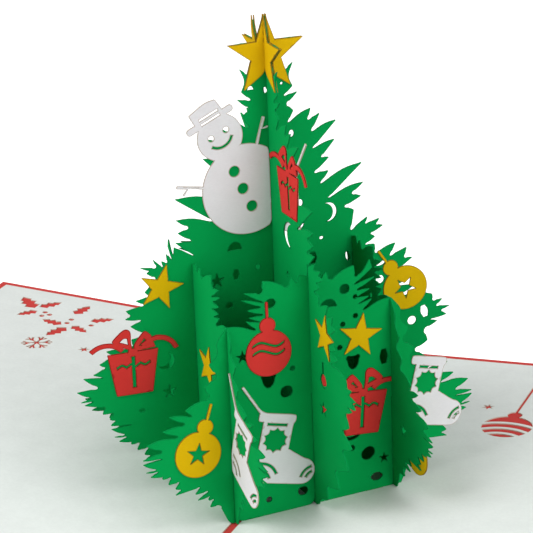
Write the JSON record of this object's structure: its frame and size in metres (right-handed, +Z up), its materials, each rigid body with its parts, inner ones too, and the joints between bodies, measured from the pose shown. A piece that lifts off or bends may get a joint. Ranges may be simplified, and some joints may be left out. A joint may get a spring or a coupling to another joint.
{
  "type": "pop-up card",
  "caption": "Opened pop-up greeting card: a folded red cover with white liners carries a slotted tree of green card with stars, baubles, gifts, stockings and a snowman.",
  "frame": {"origin": "on the surface the card lies on, under the middle of the fold and of the tree", "axes": "+X across the card from the left panel to the right panel, +Y along the fold to the back edge, +Z up"},
  "size_m": [0.2993, 0.2, 0.1404],
  "materials": {
    "red_card": "matt dyed card",
    "white_card": "matt card",
    "green_card": "matt dyed card with dark cut edges",
    "yellow_card": "matt dyed card",
    "red_trim_card": "matt dyed card",
    "white_trim_card": "matt card"
  },
  "bodies": {
    "root": {"cover": "red_card", "liner_left": "white_card", "liner_right": "white_card", "tree_sheet_a_front": "green_card", "tree_sheet_a_middle": "green_card", "tree_sheet_a_back": "green_card", "tree_sheet_b_left": "green_card", "tree_sheet_b_middle": "green_card", "tree_sheet_b_right": "green_card", "top_star_front": "yellow_card", "top_star_right": "yellow_card", "top_star_back": "yellow_card", "top_star_left": "yellow_card", "snowman": "white_trim_card", "star_left_wing": "yellow_card", "gift_left_wing": "red_trim_card", "bauble_right_wing": "yellow_card", "bauble_left_wing": "yellow_card", "red_bauble_left": "red_trim_card", "stocking_left": "white_trim_card", "star_right": "yellow_card", "gift_right": "red_trim_card", "stocking_right_wing": "white_trim_card", "gift_high": "red_trim_card", "star_front_wing": "yellow_card", "stocking_high": "white_trim_card", "red_bauble_front_wing": "red_trim_card", "star_side": "yellow_card", "stocking_side_wing": "white_trim_card", "bauble_side_wing": "yellow_card", "red_bauble_left_far": "red_trim_card", "star_right_far": "yellow_card", "gift_right_far": "red_trim_card", "star_side_far": "yellow_card"}
  },
  "joints": []
}
